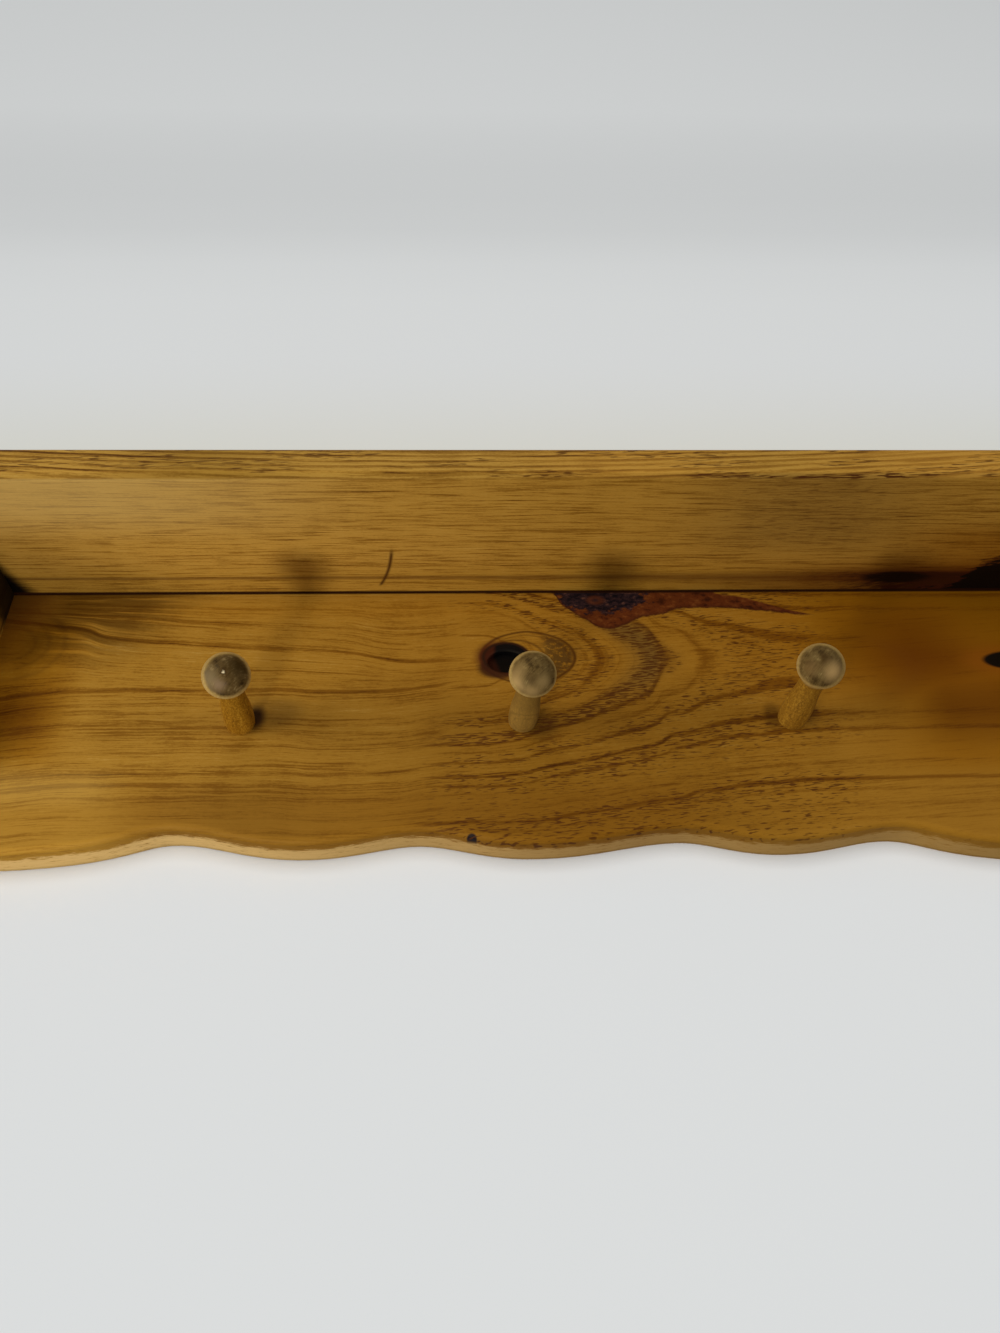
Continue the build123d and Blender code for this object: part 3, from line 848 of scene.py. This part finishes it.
# ---- Pegs ----
# Turned from hardwood and glued in. Handling has worn the domes grey and brown inside a pale rim
# that is partly painted light, and the left dome also carries painted grey sheen and a painted
# highlight. The shanks keep their honey colour, with painted shade at the foot, and on the greyed
# shanks below the head.
PEG_HEIGHT = -45.3  # of the middles of their feet
HEAD_REACH = 43.0  # out from the rail's face to the widest place of the head
HEAD_START = (33.0, 37.0)  # where the shank's colour passes into the head's
SHANK_TONES = (
    (0.30, stain(84, 48, 6)),
    (0.48, stain(140, 94, 18)),
    (0.62, stain(172, 124, 34)),
    (0.80, stain(196, 154, 76)),
)
SHANK_GREY = stain(140, 112, 56)
SHANK_FIGURE = (-0.5, 8.0, -7.0)  # middle of the arcs in the shank's grain
FIGURE_AND_SHADE_BROWN = stain(84, 60, 24)
FOOT_SHADOW_BROWN = stain(72, 40, 10)
CREAM_AND_LIT_RIM = stain(190, 160, 96)
GREY_SHEEN = stain(136, 116, 80)


def away(place_here, spot):
    """Millimetres from a spot."""
    squares = [(part - at) * (part - at) for part, at in zip(place_here, spot)]
    return (squares[0] + squares[1] + squares[2]).work("SQRT")


def peg_finish(name, foot, across, upwards, greyed, dome, dome_tones, patches):
    """A peg by the place of its foot, its lean in degrees, how grey its shank is, the middle and
    reach of its worn dome, and the dome's colours."""
    finish, tree, surface, (x, y, z), _ = new_finish(name)
    reach = y * -1.0 - RAIL_FRONT
    lean_x, lean_z = (math.tan(math.radians(angle)) for angle in (across, upwards))
    u = x - foot - reach * lean_x
    v = z - PEG_HEIGHT - reach * lean_z
    here = (
        x - (foot + HEAD_REACH * lean_x),
        y + (RAIL_FRONT + HEAD_REACH),
        z - (PEG_HEIGHT + HEAD_REACH * lean_z),
    )
    sway = (grown(reach * 0.05, u * 0.2, v * 0.2, 1.0) - 0.5) * 3.0
    speckle = grown(reach * 0.8, u * 1.1, v * 1.1, 3.0, 0.75)
    tone = grown(reach * 0.03, (u + sway) * 0.4, v * 0.4, 2.0) * 0.25 + speckle * 0.75
    shank = tint(tree, greyed, graded(tone, SHANK_TONES), SHANK_GREY)
    figure = away((u, reach, v), SHANK_FIGURE)
    arcs = (near(figure, 8.6, 1.3) * 0.6) | (near(figure, 5.6, 1.0) * 0.35)
    # Darker below the head: painted shade of the head together with a darker tan
    arcs = arcs | (rise(reach, 14.0, 22.0) * 0.5)
    shank = tint(tree, arcs * greyed, shank, FIGURE_AND_SHADE_BROWN)
    # Painted shade at the shank's foot, where it meets the rail
    foot_shadow = rise(reach, 7.0, 0.0) * rise(v, 0.0, 6.0)
    shank = tint(tree, foot_shadow * 0.5, shank, FOOT_SHADOW_BROWN)

    # The dome's end grain shows as fine slanting lines
    slant = (here[0] - here[2]) * 0.7
    hatch = grown(slant * 2.2, (here[0] + here[2]) * 0.14, here[1] * 0.14, 2.0, 0.6)
    mottle = grown(here[0] * 0.22, here[1] * 0.22, here[2] * 0.22, 3.0, 0.65)
    dome_wear_and_sheen = graded(mottle * 0.55 + hatch * 0.3 + speckle * 0.15, dome_tones)
    for spot, size, share, shade in patches:
        patch = rise(away(here, spot) + (mottle - 0.5) * 5.0, size, 0.0)
        dome_wear_and_sheen = tint(tree, patch * share, dome_wear_and_sheen, shade)
    pole, worn_to = dome
    # The pale rim, partly its own paler colour and partly painted light on the lit side
    lit_pale_rim = tint(tree, rise(speckle, 0.35, 0.65) * 0.5, CREAM_AND_LIT_RIM, shank)
    inside = rise(away(here, pole) + (mottle - 0.5) * 2.0, worn_to + 1.0, worn_to - 2.2)
    head = tint(tree, inside, lit_pale_rim, dome_wear_and_sheen)
    colour = tint(tree, rise(reach, *HEAD_START), shank, head)
    pine_surface(tree, surface, tone, 0.0, colour)
    return finish


DARK_DOME = (
    (0.32, stain(40, 26, 8)),
    (0.50, stain(92, 70, 36)),
    (0.68, stain(146, 122, 78)),
)
TAN_DOME = (
    (0.36, stain(62, 44, 18)),
    (0.52, stain(106, 83, 44)),
    (0.68, stain(150, 124, 74)),
)
# Worn patches on the domes, with painted grey sheen and a painted highlight on the left one, as
# (middle, reach, how strong, colour), measured from the head's widest place
LEFT_WEAR_AND_SHEEN = (
    ((7.1, -8.4, -0.6), 9.0, 0.9, stain(56, 38, 8)),
    # Painted grey sheen on the left and lower side
    ((-6.1, -6.2, -6.7), 9.0, 0.7, GREY_SHEEN),
    ((-1.1, -5.8, -9.3), 5.0, 0.6, stain(140, 112, 84)),
    # A dark spot with a painted highlight, a small bright dot, at its middle
    ((1.2, -9.8, -4.9), 2.6, 0.9, stain(58, 36, 12)),
    ((1.2, -9.8, -4.9), 1.0, 0.9, stain(246, 226, 176)),
)
MIDDLE_WEAR = (
    ((-8.4, -3.0, -6.4), 7.0, 0.8, stain(186, 152, 94)),
    ((-1.0, -1.5, -10.8), 7.0, 0.7, stain(170, 138, 84)),
    ((-0.3, -7.6, -7.9), 6.0, 0.6, stain(76, 56, 28)),
    ((4.7, -5.6, -8.3), 6.0, 0.8, stain(150, 122, 74)),
    ((-7.1, -7.7, -3.2), 6.0, 0.6, stain(150, 120, 70)),
)
RIGHT_WEAR = (
    ((-1.8, -10.4, -3.1), 5.0, 0.8, stain(76, 54, 24)),
    ((-7.5, -6.0, -5.3), 6.0, 0.6, stain(122, 92, 50)),
    ((2.6, -6.9, -8.2), 7.5, 0.9, stain(184, 148, 92)),
)
PEGS = (
    ("left_peg", -147.5, 2.0, -1.5, 0.0, ((3.0, -9.0, -5.4), 12.0), DARK_DOME, LEFT_WEAR_AND_SHEEN),
    ("middle_peg", -6.9, 4.0, -2.0, 0.6, ((0.2, -9.2, -5.9), 12.8), TAN_DOME, MIDDLE_WEAR),
    ("right_peg", 129.9, 4.0, 2.5, 0.1, ((-3.7, -8.8, -5.5), 12.2), TAN_DOME, RIGHT_WEAR),
)
for name, *peg in PEGS:
    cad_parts[name].material_slots[0].material = peg_finish(name, *peg)


# ---- Plugs ----
# Cut across a pine board, glued over the screws and sanded flush. Glue has drawn a dark line
# around each one.
PLUG_SIZE = (4.75, 4.75)  # half across
GLUE_LINE = (0.86, 0.99)  # where it starts and is whole, as shares of that


def plug_finish(name, axis, spots):
    """Spots are the plugs' middles on the two axes that lie across them."""
    finish, tree, surface, here, _ = new_finish(f"{name}_pine")
    side = [reading for number, reading in enumerate(here) if number != axis]
    grain = side[0] if axis else side[1]
    other = side[1] if axis else side[0]
    ring = other * 1.4 + here[axis] * 0.3
    tone = pine_grain(grain * 1.5, ring, ring, here[axis])
    colour = graded(tone, SHELF_TONES)
    from_middle = None
    for spot in spots:
        reading = oval(*side, spot, PLUG_SIZE)
        from_middle = reading if from_middle is None else from_middle.work("MINIMUM", reading)
    colour = tint(tree, rise(from_middle, *GLUE_LINE) * 0.8, colour, DIRT_BROWN)
    pine_surface(tree, surface, tone, 0.0, colour)
    return finish


ACROSS, UPRIGHT = 0, 2  # the way that a plug faces: along x or along z
RAIL_PLUGS = ((-239.4, -9.5), (0.0, -9.5), (239.4, -9.5))
BRACKET_PLUGS = ((-9.5, 6.0), (-9.5, -84.0))
BRACKET_MIDDLES = (("left", -288.9), ("right", 288.9))
PLUGS = [("shelf_to_rail_plugs", UPRIGHT, RAIL_PLUGS)]
for end, middle in BRACKET_MIDDLES:
    shelf_spots = ((middle, -20.0), (middle, -50.0))
    PLUGS.append((f"shelf_to_{end}_bracket_plugs", UPRIGHT, shelf_spots))
    PLUGS.append((f"{end}_bracket_plugs", ACROSS, BRACKET_PLUGS))
for name, *plug in PLUGS:
    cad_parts[name].material_slots[0].material = plug_finish(name, *plug)


# ---- Board screws ----
# Flat-headed slotted wood screws of plain steel, turned and lightly oiled. They pull the shelf,
# the brackets and the rail together below the plugs.
LINE_DEPTH = 0.02  # millimetres
LINES_UPRIGHT = (0.3, 0.3, 4.0)
LINES_LEVEL = (4.0, 0.3, 0.3)


def steel_finish(name, bright, dull, closeness):
    """Steel with fine lines, that lie as closely along each axis as the numbers say."""
    finish, tree, surface, here, _ = new_finish(name)
    lines = grown(*(part * close for part, close in zip(here, closeness)), 3.0, 0.6)
    clouds = grown(*(part * 0.25 for part in here), 3.0, 0.6)
    feed(tree, surface.inputs["Base Color"], tint(tree, rise(clouds, 0.35, 0.65), bright, dull))
    feed(tree, surface.inputs["Roughness"], lines * 0.3 + 0.22)
    surface.inputs["Metallic"].default_value = 1.0
    roughen(tree, surface, lines, LINE_DEPTH)
    return finish


BARE_STEEL = stain(176, 172, 166)
OILED_STEEL = stain(122, 116, 108)
SHELF_SCREWS = (
    "shelf_to_rail_screws",
    "shelf_to_left_bracket_screws",
    "shelf_to_right_bracket_screws",
)
for name in SHELF_SCREWS:
    turned = steel_finish(f"{name}_steel", BARE_STEEL, OILED_STEEL, LINES_UPRIGHT)
    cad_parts[name].material_slots[0].material = turned
for name in ("left_bracket_to_rail_screws", "right_bracket_to_rail_screws"):
    turned = steel_finish(f"{name}_steel", BARE_STEEL, OILED_STEEL, LINES_LEVEL)
    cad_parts[name].material_slots[0].material = turned


# ---- Keyhole plates ----
# Pressed from zinc-plated steel with a brushed face, let in flush behind the rail, and each held
# by two small screws. A wall screw's head goes in at the round hole and slides up the slot.
ZINC = stain(196, 198, 200)
DULL_ZINC = stain(148, 150, 150)
PLATE_LINES = (5.0, 0.5, 0.12)
PLATE_SCREW_LINES = (0.4, 4.0, 0.4)
for end in ("left", "right"):
    brushed = steel_finish(f"{end}_plate_zinc", ZINC, DULL_ZINC, PLATE_LINES)
    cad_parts[f"{end}_keyhole_plate"].material_slots[0].material = brushed
    turned = steel_finish(f"{end}_plate_screws_zinc", ZINC, DULL_ZINC, PLATE_SCREW_LINES)
    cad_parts[f"{end}_keyhole_plate_screws"].material_slots[0].material = turned


# ---- Surface that the rail lies on ----
# A pale sheet behind the wall face, with painted shade in soft bands and a painted soft shadow and
# warm bounce light just above the shelf. Only the camera sees it, and only from its front, and it
# fades out far from the rail.
SHEET_SIZE = 12.0
SHEET_GAP = 0.0006  # behind the wall face
SHEET_MIDDLE = (0.0, 0.1)
SHEET_REACH = (1.0, 1.0)
SHEET_FADE = (1.3, 2.6)  # starts and ends, as shares of that reach
# Its brightness, with painted shade in soft bands, as (height, share) in metres above the middle of
# the two keyholes
SHEET_SHADE_BANDS = (
    (-6.0, 0.9),
    (-0.4, 0.9),
    (0.0, 0.9),
    (0.15, 0.82),
    (0.33, 0.84),
    (0.46, 0.66),
    (0.62, 0.80),
    (6.0, 0.9),
)
PAPER_TONES = ((0.0, (0.40, 0.41, 0.41, 1)), (1.0, (0.84, 0.86, 0.86, 1)))
PAINTED_SHADOW_AND_BOUNCE = (0.71, 0.705, 0.62, 1)
PAPER_ROUGHNESS = 0.9
bpy.ops.mesh.primitive_plane_add(size=SHEET_SIZE)
sheet = bpy.context.object
sheet.name = "pale_sheet"
sheet.data.transform(Matrix.Rotation(math.radians(90), 4, "X"))
sheet.data.transform(Matrix.Translation((0, SHEET_GAP, 0)))
paper = bpy.data.materials.new("pale_paper")
paper.use_nodes = True
tree = paper.node_tree
surface = tree.nodes["Principled BSDF"]
where = tree.nodes.new("ShaderNodeTexCoord")
parts = tree.nodes.new("ShaderNodeSeparateXYZ")
tree.links.new(where.outputs["Object"], parts.inputs[0])
across, above = (Reading(tree, parts.outputs[axis]) for axis in ("X", "Z"))
paper_colour = graded(drawn(above, SHEET_SHADE_BANDS), PAPER_TONES, "LINEAR")
# Painted soft shadow and warm light bounced from the wood, just above the shelf
shadow_and_bounce = rise(above, 0.27, 0.10) * rise(above, -0.02, 0.05) * rise(abs(across), 0.6, 0.4)
feed(tree, surface.inputs["Base Color"], tint(tree, shadow_and_bounce, paper_colour, PAINTED_SHADOW_AND_BOUNCE))
surface.inputs["Roughness"].default_value = PAPER_ROUGHNESS
surface.inputs["Specular IOR Level"].default_value = 0.0
sides = tree.nodes.new("ShaderNodeNewGeometry")
clear = tree.nodes.new("ShaderNodeBsdfTransparent")
either = tree.nodes.new("ShaderNodeMixShader")
from_behind = Reading(tree, sides.outputs["Backfacing"])
far_off = rise(oval(across, above, SHEET_MIDDLE, SHEET_REACH), *SHEET_FADE)
feed(tree, either.inputs[0], from_behind | far_off)
tree.links.new(surface.outputs[0], either.inputs[1])
tree.links.new(clear.outputs[0], either.inputs[2])
tree.links.new(either.outputs[0], tree.nodes["Material Output"].inputs[0])
sheet.data.materials.append(paper)
for way in ("visible_diffuse", "visible_glossy", "visible_transmission", "visible_shadow"):
    setattr(sheet, way, False)

# ---- Light and camera ----
# A dim room, a wide window on the left, a lamp close by below it, and weak light from the right,
# from above and from behind. The sheet has a light of its own.
ROOM_SEEN = (0.86, 0.87, 0.86, 1)  # behind the object, where the camera sees past the sheet
ROOM_LIGHT = (1, 1, 1, 1)
ROOM_POWER = 0.18
world = bpy.data.worlds.new("studio")
bpy.context.scene.world = world
world.use_nodes = True
tree = world.node_tree
shown = tree.nodes["Background"]
shown.inputs[0].default_value = ROOM_SEEN
room = tree.nodes.new("ShaderNodeBackground")
room.inputs[0].default_value = ROOM_LIGHT
room.inputs[1].default_value = ROOM_POWER
seen = tree.nodes.new("ShaderNodeLightPath")
either = tree.nodes.new("ShaderNodeMixShader")
tree.links.new(seen.outputs["Is Camera Ray"], either.inputs[0])
tree.links.new(room.outputs[0], either.inputs[1])
tree.links.new(shown.outputs[0], either.inputs[2])
tree.links.new(either.outputs[0], tree.nodes["World Output"].inputs[0])

wooden = bpy.data.collections.new("lit_with_the_wood")
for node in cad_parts.values():
    wooden.objects.link(node)
paper_only = bpy.data.collections.new("lit_with_the_sheet")
paper_only.objects.link(sheet)


# Name, shape, size, power, place, what it points at, and what it lights
LIGHTS = (
    ("window", "SQUARE", 0.7, 10.0, (-1.25, -1.1, -0.12), (-0.1, 0, -0.04), wooden),
    ("near_lamp", "DISK", 0.11, 1.6, (-0.296, -0.20, -0.55), (0, -0.03, 0), wooden),
    ("right_fill", "SQUARE", 0.7, 5.0, (1.25, -1.1, -0.12), (0.1, 0, -0.04), wooden),
    ("top_fill", "SQUARE", 1.0, 3.0, (-0.3, -1.2, 0.9), (0, 0, -0.04), wooden),
    ("back_fill", "SQUARE", 2.0, 40.0, (0, 2.0, 1.0), (0, 0, 0), wooden),
    ("sheet_light", "SQUARE", 3.0, 68.0, (-0.1, -2.6, -0.3), (0, 0, 0), paper_only),
)
for name, shape, size, power, spot, aim, receivers in LIGHTS:
    light = bpy.data.lights.new(name, "AREA")
    light.shape, light.size, light.energy = shape, size, power
    lamp = bpy.data.objects.new(name, light)
    bpy.context.scene.collection.objects.link(lamp)
    lamp.location = spot
    lamp.rotation_euler = (Vector(aim) - Vector(spot)).to_track_quat("-Z", "Y").to_euler()
    lamp.light_linking.receiver_collection = receivers

CAMERA_PLACE = (-0.034433, -0.446046, -0.312280)
CAMERA_TURN = (125.1002, 1.3936, -1.3077)  # degrees
CAMERA_LENS, CAMERA_FILM = 27.03, 36.0  # millimetres
camera = bpy.data.cameras.new("camera")
camera.sensor_width = CAMERA_FILM
camera.lens = CAMERA_LENS
viewer = bpy.data.objects.new("camera", camera)
bpy.context.scene.collection.objects.link(viewer)
viewer.location = CAMERA_PLACE
viewer.rotation_euler = [math.radians(angle) for angle in CAMERA_TURN]
bpy.context.scene.camera = viewer
bpy.context.scene.view_settings.view_transform = "Standard"
